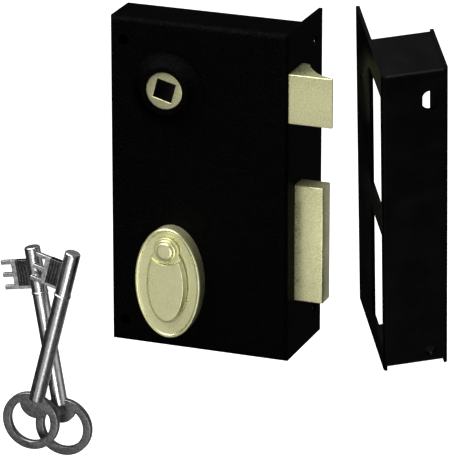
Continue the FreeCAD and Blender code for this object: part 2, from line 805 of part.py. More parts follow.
def make_escutcheon():
    """The oval plate with a raised bead round a sunk field, its rivets and the cover's pivot."""
    slab = oval("oval_slab", size("oval_length"), size("oval_width"), front, size("oval_thickness"))
    top_edges = [i for i, edge in enumerate(slab.Shape.Edges, start=1)
                 if at_depth(edge, value_of(front + size("oval_thickness")))]
    rounded = doc.addObject("Part::Fillet", "oval_rounded")
    rounded.Base = slab
    rounded.Edges = [(i, DIMENSIONS["oval_edge"], DIMENSIONS["oval_edge"]) for i in top_edges]
    doc.recompute()
    bead = size("bead_width") * 2
    field_depth = front + size("oval_thickness") - size("field_recess")
    field = oval("oval_field", size("oval_length") - bead, size("oval_width") - bead,
                 field_depth, size("field_recess") + through)
    dished = subtract(rounded, field, "oval_dished")
    tools = doc.addObject("PartDesign::Body", "escutcheon_openings")
    behind, deep = front - through, size("oval_thickness") + through * 2
    holes = front_sketch(tools, behind)
    for x, z in rivet_seats:
        circle(holes, x, z, size("rivet_dia"))
    pad(tools, holes, size("oval_rivet_sink") + through)
    shank = front_sketch(tools, behind)
    circle(shank, key_x, key_z, size("keyhole_dia"))
    pad(tools, shank, deep)
    half = size("ward_width") / 2
    ward = front_sketch(tools, behind)
    rectangle(ward, key_x - half, key_x + half, key_z - size("ward_drop"), key_z)
    pad(tools, ward, deep)
    pierced = subtract(dished, tools, "escutcheon_pierced")
    pivot_hole = doc.addObject("PartDesign::Body", "pivot_hole")
    bore = front_sketch(pivot_hole, field_depth - size("oval_rivet_sink"))
    circle(bore, cover_x, cover_z, size("rivet_dia"))
    pad(pivot_hole, bore, size("oval_rivet_sink") + through)
    keep(subtract(pierced, pivot_hole, "escutcheon"), "escutcheon")

    group("escutcheon_rivets", [pin(f"escutcheon_rivet_{i}", x, z, size("rivet_dia"),
                                    inner_front, front + size("oval_rivet_sink"), kept=False)
                                for i, (x, z) in enumerate(rivet_seats, start=1)])
    return field_depth


def oval_points(x, z, half_x, half_z, start, end, steps):
    """Arcs along an upright ellipse between two angles, counter-clockwise, without the end."""
    points = []
    wide, tall = value_of(half_x), value_of(half_z)
    for i in range(steps):
        turns = [start + (end - start) * (i + part) / steps for part in (0.0, 0.5, 1.0)]
        first, middle, last = (Vector(wide * math.cos(t), tall * math.sin(t), 0) for t in turns)
        chord = last - first
        rise = (middle - (first + last) * 0.5).Length
        points.append((x + half_x * math.cos(turns[0]), z + half_z * math.sin(turns[0]),
                       rise * 2 / chord.Length))
    return points


def make_cover(field_depth):
    """The egg-shaped cover that swings on a shouldered rivet, over a thin washer."""
    back = front + size("oval_thickness") + size("cover_gap")
    head = back + size("tab_thickness") + size("cover_gap")
    core, flange, dome = size("rivet_dia") / 2, size("head_dia") / 2, size("dome_dia") / 2
    step, crown = head + size("head_thickness"), head + size("dome_rise")
    sunk = field_depth - size("oval_rivet_sink")
    ease = 0.4
    turned("cover_pivot_rivet", cover_x, cover_z, [
        (0, sunk), (core, sunk), (core, head), (flange, head), (flange, step), (dome, step),
        (dome, crown - ease, -0.4), (dome - ease, crown), (0, crown)])
    turned("cover_washer", cover_x, cover_z, [
        (core, field_depth), (flange, field_depth), (flange, back - size("cover_gap")),
        (core, back - size("cover_gap"))])

    half_x, half_z = size("cover_width") / 2, size("cover_length") / 2
    middle_z = cover_z - size("cover_drop")
    horn = math.acos(value_of(size("cover_horn")) / value_of(half_x))
    egg = oval_points(cover_x, middle_z, half_x, half_z, math.pi - horn, math.pi * 2 + horn, 14)
    horn_x = cover_x + half_x * math.cos(horn)
    horn_z = middle_z + half_z * math.sin(horn)

    cover = new_body("swivel_cover")
    plate = front_sketch(cover, back)
    neck_x, neck_z, neck_bulge = 5.3, 1.5, 1.3
    outline(plate, [(cover_x + neck_x, cover_z - neck_z, neck_bulge),
                    (cover_x - neck_x, cover_z - neck_z)] + egg + [(horn_x, horn_z)])
    pad(cover, plate, size("tab_thickness"))
    shield = front_sketch(cover, back + size("tab_thickness") / 2)
    outline(shield, [(horn_x, horn_z, -0.33)] + egg)
    pad(cover, shield, size("cover_thickness") - size("tab_thickness") / 2)
    cut_holes(cover, back - through, size("cover_thickness") + through * 2, [(cover_x, cover_z)],
              size("rivet_dia") + 0.12)


# ---------------------------------------------------------------- keeper

KEEPER_TURN = 31.0
KEEPER_LEAN = 19.4
KEEPER_ROLL = -1.8
KEEPER_FACING = 21.0
KEEPER_CORNER = Vector(82.8, -25.7, -65.6)


def make_keeper():
    """The box keeper: one folded sheet with a deep flange, shown loose beside the lock."""
    body = new_body("keeper")
    width, height = size("keeper_width"), size("keeper_height")
    box, reach = size("keeper_box"), size("keeper_reach")
    sink = size("cap_sink")
    block = sketch_on(body, "XY_Plane")
    rectangle(block, 0.0, width, 0.0, box)
    pad(body, block, height)
    round_edges(body, size("keeper_fold") / 2,
                lambda edge: abs(edge.BoundBox.YMax) < 0.01 and edge.BoundBox.ZLength > 1)
    for low in (-through, height - sink):
        ends = sketch_on(body, "XY_Plane", low)
        rectangle(ends, sheet_t, width - sheet_t, -through, box + through)
        cut(body, ends, sink + through)
    round_edges(body, size("keeper_fold"),
                lambda edge: abs(edge.BoundBox.YMax) < 0.01 and edge.BoundBox.ZLength < 0.01
                and edge.BoundBox.XLength > DIMENSIONS["keeper_width"] / 2
                and edge.BoundBox.XMin > DIMENSIONS["sheet_thickness"] - 0.1)
    flange = sketch_on(body, "YZ_Plane")
    rectangle(flange, box - 4.0, reach, 0.0, height)
    pad(body, flange, sheet_t)
    hollow = sketch_on(body, "XY_Plane", sink + sheet_t)
    rectangle(hollow, sheet_t, width - sheet_t, sheet_t, box + through)
    cut(body, hollow, height - (sink + sheet_t) * 2)

    slots = sketch_on(body, "YZ_Plane", -through)
    half_bridge = size("slot_bridge") / 2
    for sign in (1, -1):
        inner = height / 2 + half_bridge * sign
        outer = height / 2 + (half_bridge + size("slot_height")) * sign
        rectangle(slots, size("slot_start"), size("slot_reach"), inner, outer)
    cut(body, slots, sheet_t + through)
    screws = sketch_on(body, "YZ_Plane", -through)
    for share in (0.14, 0.80):
        circle(screws, reach - size("keeper_hole_inset"), height * share, size("fixing_hole_dia"))
    cut(body, screws, sheet_t + through * 2)
    hole_x = width - size("face_hole_inset")
    rise = size("face_hole_length") / 2
    face_holes = sketch_on(body, "XZ_Plane", -sheet_t - through)
    slot(face_holes, hole_x, height - size("face_hole_top") - rise,
         hole_x, height - size("face_hole_top") + rise, size("face_hole_width"))
    circle(face_holes, hole_x, size("face_hole_foot"), size("fixing_hole_dia"))
    cut(body, face_holes, sheet_t + through * 2)
    facing = math.radians(KEEPER_FACING)
    sideways = Vector(math.cos(facing), math.sin(facing), 0)
    away = Vector(-math.sin(facing), math.cos(facing), 0)
    turn = Rotation(Vector(0, 0, 1), KEEPER_TURN)
    lean = Rotation(sideways, KEEPER_LEAN)
    roll = Rotation(away, KEEPER_ROLL)
    body.Placement = Placement(KEEPER_CORNER, roll.multiply(lean.multiply(turn)))


# ---------------------------------------------------------------- keys


def make_key(name, tip_x, tip_z, tilt, depth):
    """A lever key: shank with a collar, toothed bit and ring bow, pointing its tip up."""
    place = Placement(Vector(tip_x, -depth, tip_z), Rotation(Vector(0, 1, 0), tilt))
    radius = size("shank_dia") / 2
    length, bow = size("shank_length"), -size("bow_drop")

    shank = new_body(f"{name}_shank")
    side = sketch_on(shank, "XZ_Plane")
    chamfer, rise, wide = size("tip_chamfer"), size("collar_rise"), size("collar_width")
    collar = -size("bit_drop") - size("bit_rise") - wide
    outline(side, [(0, 0), (radius - chamfer, 0.0), (radius, -chamfer), (radius, collar),
                   (radius + rise, collar - rise), (radius + rise, collar - wide + rise),
                   (radius, collar - wide), (radius, chamfer - length),
                   (radius - chamfer, -length), (0, -length)])
    spin(shank, "Revolution", side)
    shank.Placement = place

    bit = new_body(f"{name}_bit")
    bit_top = -size("bit_drop")
    rise, reach = size("bit_rise"), size("bit_reach")
    half = size("bit_thickness") / 2
    root, web = -radius + 0.15, -radius - reach * 0.62
    tooth = rise * 0.14
    middle = rise * 0.5
    teeth = sketch_on(bit, "XZ_Plane", -half)
    outline(teeth, [
        (root, bit_top), (-radius - reach, bit_top), (-radius - reach, bit_top - tooth),
        (web, bit_top - tooth), (web, bit_top - middle + tooth / 2),
        (-radius - reach, bit_top - middle + tooth / 2),
        (-radius - reach, bit_top - middle - tooth / 2), (web, bit_top - middle - tooth / 2),
        (web, bit_top - rise + tooth), (-radius - reach, bit_top - rise + tooth),
        (-radius - reach, bit_top - rise), (root, bit_top - rise)])
    pad(bit, teeth, size("bit_thickness"))
    block = sketch_on(bit, "XZ_Plane", -size("bit_block_thickness") / 2)
    rectangle(block, -radius - size("bit_block_reach"), root, bit_top - size("bit_block_rise"), bit_top)
    pad(bit, block, size("bit_block_thickness"))
    bit.Placement = place

    ring = new_body(f"{name}_bow")
    face = sketch_on(ring, "XZ_Plane", -size("bow_thickness") / 2)
    circle(face, 0.0, bow, size("bow_dia"))
    pad(ring, face, size("bow_thickness"))
    eye = sketch_on(ring, "XZ_Plane", -size("bow_thickness"))
    side, high = size("bow_hole_dia") * 0.361, bow + size("bow_hole_dia") * 0.346
    outline(eye, [(-side, high, 0.67), (side, high, -2.344)])
    cut(ring, eye, size("bow_thickness") * 2)
    socket = sketch_on(ring, "XY_Plane", -length)
    circle(socket, 0.0, 0.0, size("shank_dia"))
    cut(ring, socket, length)
    ring.Placement = place


# ---------------------------------------------------------------- build, check and write


def build():
    make_case_shell()
    make_back_plate()
    make_pillars_and_screws()
    make_follower()
    anchor_x, latch_rear = make_latch()
    make_latch_spring(anchor_x, latch_rear)
    make_deadbolt()
    make_levers()
    make_cover(make_escutcheon())
    make_keeper()
    make_key("front_key", -58.9, -37.3, 14.5, 12.6)
    make_key("rear_key", -80.8, -39.7, -9.7, 5.2)
    doc.recompute()


def check():
    for item in doc.Objects:
        if {"Invalid", "Error"} & set(item.State):
            raise RuntimeError(f"{item.Label} did not build: {item.State}")
    for item in sub_parts:
        if item.Shape.isNull() or not item.Shape.isValid():
            raise RuntimeError(f"{item.Label} has no valid shape")


def write():
    os.makedirs("parts", exist_ok=True)
    for item in sub_parts:
        item.Shape.exportStep(f"parts/{item.Label}.step")
    print(f"{len(sub_parts)} parts written")


build()
check()
write()
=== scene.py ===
"""Looks of the rim lock set: enamelled case, brass furniture, black keeper and steel keys."""

import bmesh
import bpy
import json
import math
from mathutils import Matrix, Vector


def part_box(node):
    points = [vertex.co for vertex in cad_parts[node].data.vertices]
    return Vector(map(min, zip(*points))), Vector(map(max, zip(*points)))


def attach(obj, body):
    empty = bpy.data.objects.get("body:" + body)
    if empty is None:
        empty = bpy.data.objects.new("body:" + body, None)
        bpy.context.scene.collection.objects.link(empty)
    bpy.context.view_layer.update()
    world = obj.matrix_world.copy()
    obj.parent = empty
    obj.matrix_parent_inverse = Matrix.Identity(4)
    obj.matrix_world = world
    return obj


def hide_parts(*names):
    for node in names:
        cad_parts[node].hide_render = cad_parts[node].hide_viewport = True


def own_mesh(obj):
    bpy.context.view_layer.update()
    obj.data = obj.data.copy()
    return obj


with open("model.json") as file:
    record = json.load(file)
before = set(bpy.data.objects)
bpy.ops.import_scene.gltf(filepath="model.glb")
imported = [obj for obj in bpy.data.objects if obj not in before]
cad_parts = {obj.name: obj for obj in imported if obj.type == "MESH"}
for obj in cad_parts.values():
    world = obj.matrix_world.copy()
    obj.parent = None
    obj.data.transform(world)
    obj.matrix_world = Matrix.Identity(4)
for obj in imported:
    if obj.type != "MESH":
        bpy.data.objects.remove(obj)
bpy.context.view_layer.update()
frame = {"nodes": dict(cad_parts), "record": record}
NODES = frame["nodes"]
MM = 0.001


# ---------------------------------------------------------------- materials


class Shader:
    """A Principled material whose nodes are added by short calls."""

    def __init__(self, name, colour, roughness, metallic=0.0, **sockets):
        self.material = bpy.data.materials.new(name)
        self.material.use_nodes = True
        self.tree = self.material.node_tree
        self.surface = self.tree.nodes["Principled BSDF"]
        self.surface.inputs["Base Color"].default_value = (*colour, 1.0)
        self.surface.inputs["Roughness"].default_value = roughness
        self.surface.inputs["Metallic"].default_value = metallic
        for socket, value in sockets.items():
            self.surface.inputs[socket.replace("_", " ")].default_value = value
        self.place = self.add("ShaderNodeTexCoord").outputs["Object"]
        self.height = None

    def add(self, kind, **settings):
        node = self.tree.nodes.new(kind)
        for key, value in settings.items():
            setattr(node, key, value)
        return node

    def join(self, source, target):
        self.tree.links.new(source, target)

    def noise(self, scale, detail=3.0, stretch=(1, 1, 1), roughness=0.5):
        """Noise in object space. scale is per metre; stretch multiplies it along each axis."""
        mapping = self.add("ShaderNodeMapping")
        mapping.inputs["Scale"].default_value = stretch
        self.join(self.place, mapping.inputs["Vector"])
        node = self.add("ShaderNodeTexNoise")
        node.inputs["Scale"].default_value = scale
        node.inputs["Detail"].default_value = detail
        node.inputs["Roughness"].default_value = roughness
        self.join(mapping.outputs["Vector"], node.inputs["Vector"])
        return node.outputs["Fac"]

    def spread(self, source, low, high, to_low=0.0, to_high=1.0):
        node = self.add("ShaderNodeMapRange")
        for socket, value in zip(("From Min", "From Max", "To Min", "To Max"),
                                 (low, high, to_low, to_high)):
            node.inputs[socket].default_value = value
        self.join(source, node.inputs["Value"])
        return node.outputs["Result"]

    def maths(self, operation, first, second):
        node = self.add("ShaderNodeMath", operation=operation)
        for socket, value in zip(node.inputs, (first, second)):
            if isinstance(value, float):
                socket.default_value = value
            else:
                self.join(value, socket)
        return node.outputs["Value"]

    def tint(self, factor, dark, light):
        """Blend the base colour from dark to light by a factor."""
        node = self.add("ShaderNodeMix", data_type="RGBA")
        node.inputs["A"].default_value = (*dark, 1.0)
        node.inputs["B"].default_value = (*light, 1.0)
        self.join(factor, node.inputs["Factor"])
        self.join(node.outputs["Result"], self.surface.inputs["Base Color"])

    def rough(self, source):
        self.join(source, self.surface.inputs["Roughness"])

    def bump(self, source, depth, strength=1.0):
        """Raise the surface by up to depth metres where the source is high."""
        node = self.add("ShaderNodeBump")
        node.inputs["Strength"].default_value = strength
        node.inputs["Distance"].default_value = depth
        self.join(source, node.inputs["Height"])
        if self.height is not None:
            self.join(self.height, node.inputs["Normal"])
        self.height = node.outputs["Normal"]
        self.join(self.height, self.surface.inputs["Normal"])
        self.join(self.height, self.surface.inputs["Coat Normal"])


def black_enamel():
    """Sprayed enamel with an orange-peel grain and faint dust."""
    s = Shader("black_enamel", (0.001, 0.001, 0.001), 0.6, Specular_IOR_Level=0.0,
               Coat_Weight=0.06, Coat_Roughness=0.32, Coat_IOR=1.5)
    grain = s.noise(1500, 2.0)
    s.bump(s.spread(grain, 0.3, 0.7), 0.00030, 1.0)
    s.bump(s.noise(300, 3.0), 0.00012, 0.4)
    s.tint(s.spread(grain, 0.62, 0.85), (0.0002, 0.0002, 0.0002), (0.005, 0.005, 0.005))
    return s.material


def satin_black():
    """Smooth satin paint on sheet steel, with faint rubbed patches."""
    s = Shader("satin_black", (0.001, 0.001, 0.001), 0.5, Specular_IOR_Level=0.0,
               Coat_Weight=0.22, Coat_Roughness=0.26, Coat_IOR=1.5)
    s.bump(s.noise(500, 3.0), 0.00004, 0.5)
    rubbed = s.spread(s.noise(90, 5.0), 0.4, 0.75)
    s.tint(rubbed, (0.0004, 0.0004, 0.0004), (0.003, 0.003, 0.003))
    return s.material


BRASS_DARK, BRASS_LIGHT = (0.68, 0.66, 0.33), (0.95, 0.94, 0.57)
BRASS_METALLIC = 0.78  # less than 1, so that side walls which reflect nothing still show


def brass(name, fine=1.0, mottle=0.0, shade=1.0):
    """Pale brass with a fine grain, soft tarnish and a cast mottle."""
    s = Shader(name, (0.80, 0.78, 0.46), 0.3, BRASS_METALLIC)
    grain = s.noise(1400, 3.0)
    tarnish = s.noise(140, 5.0, roughness=0.6)
    speckle = s.noise(1700, 2.0)
    spots = s.maths("MULTIPLY", s.spread(speckle, 0.3, 0.7), mottle)
    clouds = s.maths("MULTIPLY", s.spread(tarnish, 0.1, 0.9), 1.0 - mottle)
    s.tint(s.maths("ADD", spots, clouds), [shade * part for part in BRASS_DARK],
           [shade * part for part in BRASS_LIGHT])
    s.rough(s.maths("ADD", s.spread(grain, 0.3, 0.7, 0.22, 0.36),
                    s.spread(tarnish, 0.4, 0.7, 0.0, 0.10)))
    s.bump(grain, 0.00002 * fine, 0.6)
    s.bump(speckle, 0.00004 * fine, 0.4)
    return s.material


def steel(name, dark, light, rough, strokes=(1, 1, 1), depth=0.00002):
    """Plain steel with drawn or tumbled marks."""
    s = Shader(name, light, rough, 1.0)
    marks = s.noise(1300, 3.0, stretch=strokes)
    cloud = s.noise(900, 4.0)
    s.tint(s.spread(cloud, 0.3, 0.7), dark, light)
    s.rough(s.spread(marks, 0.3, 0.7, rough - 0.06, rough + 0.10))
    s.bump(marks, depth, 0.5)
    return s.material


ENAMEL = black_enamel()
SATIN = satin_black()
BRASS_CAST = brass("brass_cast", fine=1.3, mottle=0.85)
BRASS_PRESSED = brass("brass_pressed", fine=0.25, mottle=0.3)
# A darker copy of the brass, 0.62 times as bright, used on the follower.
BRASS_DARKER = brass("brass_darker", mottle=0.8, shade=0.62)
KEY_STEEL = steel("key_steel", (0.52, 0.52, 0.52), (0.72, 0.72, 0.72), 0.27,
                  strokes=(1, 1, 0.1), depth=0.000008)
ZINC = steel("zinc_steel", (0.38, 0.39, 0.40), (0.56, 0.56, 0.55), 0.32)
# Painted shade: the key is one steel, and its bow gets this darker copy of the shank's steel.
BOW_STEEL_PAINTED_SHADE = steel("bow_steel_painted_shade", (0.12, 0.12, 0.12), (0.30, 0.30, 0.30), 0.34)
# Painted light and shade: a copy of the key steel for the bit, with patches lighter and darker than
# the shank's.
BIT_STEEL_PAINTED_LIGHT_AND_SHADE = steel("bit_steel_painted_light_and_shade", (0.30, 0.30, 0.30), (0.80, 0.80, 0.80), 0.30)
# Painted shade: a near-black copy of the key steel for the block of the bit.
BLOCK_STEEL_PAINTED_SHADE = steel("block_steel_painted_shade", (0.03, 0.03, 0.03), (0.12, 0.12, 0.12), 0.30)
# Painted shade: near-black steel for the inside of the follower's square hole.
BORE_PAINTED_SHADE = steel("bore_painted_shade", (0.008, 0.008, 0.008), (0.03, 0.028, 0.022), 0.5)
SPRING = steel("spring_steel", (0.14, 0.14, 0.16), (0.28, 0.28, 0.30), 0.30)
FINISHES = {"black_enamel": ENAMEL, "satin_black": SATIN, "brass": BRASS_PRESSED,
            "steel": ZINC, "spring_steel": SPRING, "key_steel": KEY_STEEL}
SLOT_OF = {s["node"]: s["material_slot"] for s in frame["record"]["subparts"]}

for name, node in NODES.items():
    node.data.materials.clear()
    node.data.materials.append(FINISHES[SLOT_OF[name]])


# ---------------------------------------------------------------- mesh helpers


def finish_piece(obj, material, body, slot, *replaced):
    """Give a piece its material and body, and let it stand for its CAD nodes."""
    obj.data.materials.clear()
    obj.data.materials.append(material)
    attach(obj, body)
    if replaced:
        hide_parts(*replaced)
    return obj


def object_from(name, mesh):
    obj = bpy.data.objects.new(name, mesh)
    bpy.context.scene.collection.objects.link(obj)
    return obj


def smooth(mesh, angle=35):
    mesh.polygons.foreach_set("use_smooth", [True] * len(mesh.polygons))
    mesh.set_sharp_from_angle(angle=math.radians(angle))


def applied(obj):
    """Turn an object's modifiers into plain mesh."""
    bpy.context.view_layer.update()
    graph = bpy.context.evaluated_depsgraph_get()
    mesh = bpy.data.meshes.new_from_object(obj.evaluated_get(graph))
    obj.modifiers.clear()
    obj.data = mesh
    return obj


ROUNDED_ABOVE = 32  # degrees between faces


def soften(obj, width, steps):
    """Round every sharp edge."""
    bevel = obj.modifiers.new("edges", "BEVEL")
    bevel.width, bevel.segments = width, steps
    bevel.limit_method, bevel.angle_limit = "ANGLE", math.radians(ROUNDED_ABOVE)
    bevel.harden_normals = True
    bevel.miter_outer = "MITER_ARC"
    return applied(obj)


def clean_copy(node, name):
    """A copy of a CAD node's mesh with its facets joined, ready for its edges to be rounded."""
    mesh = NODES[node].data.copy()
    work = bmesh.new()
    work.from_mesh(mesh)
    bmesh.ops.remove_doubles(work, verts=work.verts, dist=0.002 * MM)
    bmesh.ops.dissolve_limit(work, angle_limit=math.radians(0.4), verts=work.verts,
                             edges=work.edges)
    work.to_mesh(mesh)
    work.free()
    smooth(mesh)
    return object_from(name, mesh)


def welded(mesh, gap):
    """Merge points closer than the gap, turn faces outwards and shade the mesh smooth."""
    work = bmesh.new()
    work.from_mesh(mesh)
    bmesh.ops.remove_doubles(work, verts=work.verts, dist=gap)
    bmesh.ops.recalc_face_normals(work, faces=work.faces)
    work.to_mesh(mesh)
    work.free()
    smooth(mesh)


def around(steps):
    """The cosine and sine of even steps round a circle."""
    return [(math.cos(2 * math.pi * i / steps), math.sin(2 * math.pi * i / steps))
            for i in range(steps)]


def grid_piece(name, rings, closed_ends=True):
    """A mesh from rings of equal length, joined side to side; the end rings are capped."""
    count = len(rings[0])
    mesh = bpy.data.meshes.new(name)
    faces = []
    for r in range(len(rings) - 1):
        for i in range(count):
            j = (i + 1) % count
            faces.append((r * count + i, r * count + j,
                          (r + 1) * count + j, (r + 1) * count + i))
    if closed_ends:
        faces.append(tuple(reversed(range(count))))
        faces.append(tuple((len(rings) - 1) * count + i for i in range(count)))
    mesh.from_pydata([p for ring in rings for p in ring], [], faces)
    welded(mesh, 0.0005 * MM)
    return object_from(name, mesh)


LEAST_RADIUS = 0.0005 * MM  # a ring this small welds into one point
CORNER_STEPS = 5


def eased(points, radius):
    """Round the corners of an open profile of 2-D points."""
    out = [points[0]]
    for before, here, after in zip(points, points[1:], points[2:]):
        a, b, c = Vector(before), Vector(here), Vector(after)
        cut = min(radius, (a - b).length * 0.48, (c - b).length * 0.48)
        start, end = b + (a - b).normalized() * cut, b + (c - b).normalized() * cut
        for k in range(CORNER_STEPS + 1):
            t = k / CORNER_STEPS
            out.append(tuple(start * (1 - t) ** 2 + b * 2 * t * (1 - t) + end * t ** 2))
    out.append(points[-1])
    return out


def lathe(name, x, z, profile):
    """Turn (radius, y) points about an axis along Y through x, z."""
    rings = []
    for radius, y in profile:
        radius = max(radius, LEAST_RADIUS)
        rings.append([(x + radius * c, y, z + radius * s) for c, s in around(96)])
    return grid_piece(name, rings)


def swept(points, steps=14):
    """Dense outline from corners. A third number bends the edge: sagitta over half its length."""
    out = []
    for (x0, y0, *bend), nxt in zip(points, points[1:] + points[:1]):
        start, end = Vector((x0, y0)), Vector(nxt[:2])
        out.append((x0, y0))
        if bend:
            half_turn = 2 * math.atan(bend[0])
            chord = end - start
            centre = (start + end) / 2 + Vector((-chord.y, chord.x)) * (0.5 / math.tan(half_turn))
            for k in range(1, steps):
                spoke = Matrix.Rotation(2 * half_turn * k / steps, 2) @ (start - centre)
                out.append(tuple(centre + spoke))
    return out


def round_outline(x, y, radius, steps=96):
    return [(x + radius * c, y + radius * s) for c, s in around(steps)]


# Stands a piece drawn in X and Y upright in X and Z.
FACING = Matrix(((1, 0, 0, 0), (0, 0, -1, 0), (0, 1, 0, 0), (0, 0, 0, 1)))


def plate(name, outlines, low, high, edge, place=FACING):
    """A flat piece with rounded edges. The first outline is the rim and the others are holes."""
    curve = bpy.data.curves.new(name, "CURVE")
    curve.dimensions, curve.fill_mode = "2D", "BOTH"
    curve.extrude = (high - low) / 2 - edge
    curve.bevel_depth, curve.bevel_resolution, curve.offset = edge, 3, -edge
    for points in outlines:
        spline = curve.splines.new("POLY")
        spline.points.add(len(points) - 1)
        for target, (x, y) in zip(spline.points, points):
            target.co = (x, y, 0.0, 1.0)
        spline.use_cyclic_u = True
    obj = object_from(name, curve)
    bpy.context.view_layer.update()
    graph = bpy.context.evaluated_depsgraph_get()
    mesh = bpy.data.meshes.new_from_object(obj.evaluated_get(graph))
    bpy.data.objects.remove(obj)
    mesh.transform(place @ Matrix.Translation((0, 0, (low + high) / 2)))
    welded(mesh, 0.001 * MM)
    return object_from(name, mesh)


def pierced(obj, *cutters):
    """Cut other pieces out of this one, and remove them."""
    for cutter in cutters:
        hole = obj.modifiers.new("hole", "BOOLEAN")
        hole.object, hole.operation, hole.solver = cutter, "DIFFERENCE", "EXACT"
    applied(obj)
    smooth(obj.data)
    for cutter in cutters:
        bpy.data.objects.remove(cutter)
    return obj


def joined(name, *parts):
    """One piece from several closed meshes."""
    work = bmesh.new()
    for part in parts:
        work.from_mesh(part.data)
        bpy.data.objects.remove(part)
    mesh = bpy.data.meshes.new(name)
    work.to_mesh(mesh)
    work.free()
    smooth(mesh)
    return object_from(name, mesh)


def centre_of(node):
    low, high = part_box(node)
    return (low + high) / 2


# ---------------------------------------------------------------- case and follower

for node, width in (("case_shell", 0.22), ("back_plate", 0.15)):
    copy = soften(clean_copy(node, node + "_sheet"), width * MM, 2)
    finish_piece(copy, ENAMEL, "case", "black_enamel", node)

hub_low, hub_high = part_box("follower_hub")
hub = centre_of("follower_hub")
HUB_RADIUS = (hub_high.x - hub_low.x) / 2
SQUARE, SQUARE_TURN = 8.1 * MM, 15.0
corner_radius = SQUARE / math.sqrt(2)
square = [(hub.x + corner_radius * math.cos(math.radians(45 - SQUARE_TURN + 90 * i)),
           hub.z + corner_radius * math.sin(math.radians(45 - SQUARE_TURN + 90 * i)))
          for i in range(4)]
follower = plate("follower_bush", [round_outline(hub.x, hub.z, HUB_RADIUS), square],
                 -hub_high.y, -hub_low.y, 0.45 * MM)
finish_piece(follower, BRASS_DARKER, "follower", "brass", "follower_hub")
# A thin near-black sleeve through the follower's square hole: painted shade in the bore.
WIDER, NARROWER, SET_BACK = 1.02, 0.985, 0.5 * MM
bore_shade_sleeve = [[(hub.x + (x - hub.x) * share, y, hub.z + (z - hub.z) * share) for x, z in square]
          for share, y in ((WIDER, hub_low.y + SET_BACK), (NARROWER, hub_low.y + SET_BACK),
                           (NARROWER, hub_high.y - SET_BACK), (WIDER, hub_high.y - SET_BACK))]
finish_piece(grid_piece("follower_bore_painted_shade", bore_shade_sleeve + bore_shade_sleeve[:1], closed_ends=False), BORE_PAINTED_SHADE,
             "follower", "steel")


# ---------------------------------------------------------------- bolts

latch_low, latch_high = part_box("latch_head")
front, back, nose, rear = latch_low.y, latch_high.y, latch_high.x, latch_low.x
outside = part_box("case_shell")[1].x
NOSE_FLAT, HEEL_FOOT = 1.2 * MM, 1.4 * MM
BEVEL = ((5.4 * MM, 3.6 * MM, -0.08), (12.2 * MM, 10.6 * MM, -0.06))  # from nose, from front, bend
HEEL = ((3.7 * MM, 1.8 * MM, 0.12), (2.3 * MM, 0.3 * MM, 0.3))  # from case, from back, bend
beak = swept([(rear, front), (nose, front), (nose, front + NOSE_FLAT)]
             + [(nose - along, front + across, bend) for along, across, bend in BEVEL]
             + [(outside + along, back - across, bend) for along, across, bend in HEEL]
             + [(outside + HEEL_FOOT, back), (rear, back)])
latch = plate("latch_bolt", [beak], latch_low.z, latch_high.z, 0.35 * MM, Matrix.Identity(4))
finish_piece(latch, BRASS_CAST, "latch", "brass", "latch_head", "latch_rivets")

# The case holds the spring's inner end, so the real coil shortens towards the latch as that is
# drawn in; here the coil is a copy with its own mesh, carried with the latch.
latch_coil = object_from("latch_coil", NODES["latch_spring"].data.copy())
finish_piece(latch_coil, SPRING, "latch", "spring_steel", "latch_spring")
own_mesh(latch_coil)

bolt_low, bolt_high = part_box("deadbolt_head")
deadbolt = plate("deadbolt_bar", [[(bolt_low.x, bolt_low.z), (bolt_high.x, bolt_low.z),
                                   (bolt_high.x, bolt_high.z), (bolt_low.x, bolt_high.z)]],
                 -bolt_high.y, -bolt_low.y, 0.4 * MM)
finish_piece(deadbolt, BRASS_CAST, "deadbolt", "brass", "deadbolt_head", "deadbolt_rivets")


# ---------------------------------------------------------------- escutcheon and swivel cover

oval_low, oval_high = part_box("escutcheon")
oval = (oval_low + oval_high) / 2
HALF_WIDE, HALF_TALL = (oval_high.x - oval_low.x) / 2, (oval_high.z - oval_low.z) / 2
base_y, rim_y = oval_high.y, oval_low.y
FIELD_SINK = 0.45 * MM
BEAD = ((0.0, 1.2), (0.1, 0.45), (0.45, 0.0), (1.0, 0.02), (1.3, 0.12))  # mm in, mm below the top
rim_profile = eased([(0.3 * MM, base_y)] + [(inset * MM, rim_y + sunk * MM) for inset, sunk in BEAD]
                    + [(1.55 * MM, rim_y + FIELD_SINK), (6.0 * MM, rim_y + FIELD_SINK)], 0.2 * MM)
rings = [[(oval.x + (HALF_WIDE - inset) * c, y, oval.z + (HALF_TALL - inset) * s)
          for c, s in around(144)] for inset, y in rim_profile]
escutcheon = grid_piece("oval_escutcheon", rings)

keyhole = next(m for m in frame["record"]["mounts"] if m["name"] == "keyhole")["pos_m"]
key_x, key_z = keyhole[0], keyhole[2]
SHANK_HOLE, WARD_HALF, WARD_DROP = 3.8 * MM, 1.7 * MM, 15.9 * MM
lower = math.acos(WARD_HALF / SHANK_HOLE)
opening = [(key_x - WARD_HALF, key_z - WARD_DROP), (key_x + WARD_HALF, key_z - WARD_DROP)]
ARC_STEPS = 40
for i in range(ARC_STEPS + 1):
    turn = -lower + (math.pi + 2 * lower) * i / ARC_STEPS
    opening.append((key_x + SHANK_HOLE * math.cos(turn), key_z + SHANK_HOLE * math.sin(turn)))
pivot = centre_of("cover_pivot_rivet")
cover_low, cover_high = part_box("swivel_cover")
cover_back, cover_face = cover_high.y, cover_low.y
EGG_WIDE, EGG_TALL, HORN, EGG_STEPS = 8.9 * MM, 16.8 * MM, 6.6 * MM, 96
TOP_BEND, SEAT_GAP, SEAT_SINK, CUT_PAST = -0.33, 0.42 * MM, 0.35 * MM, 1 * MM
egg_z = cover_low.z + EGG_TALL
horn_turn = math.acos(HORN / EGG_WIDE)
horn_z = egg_z + EGG_TALL * math.sin(horn_turn)


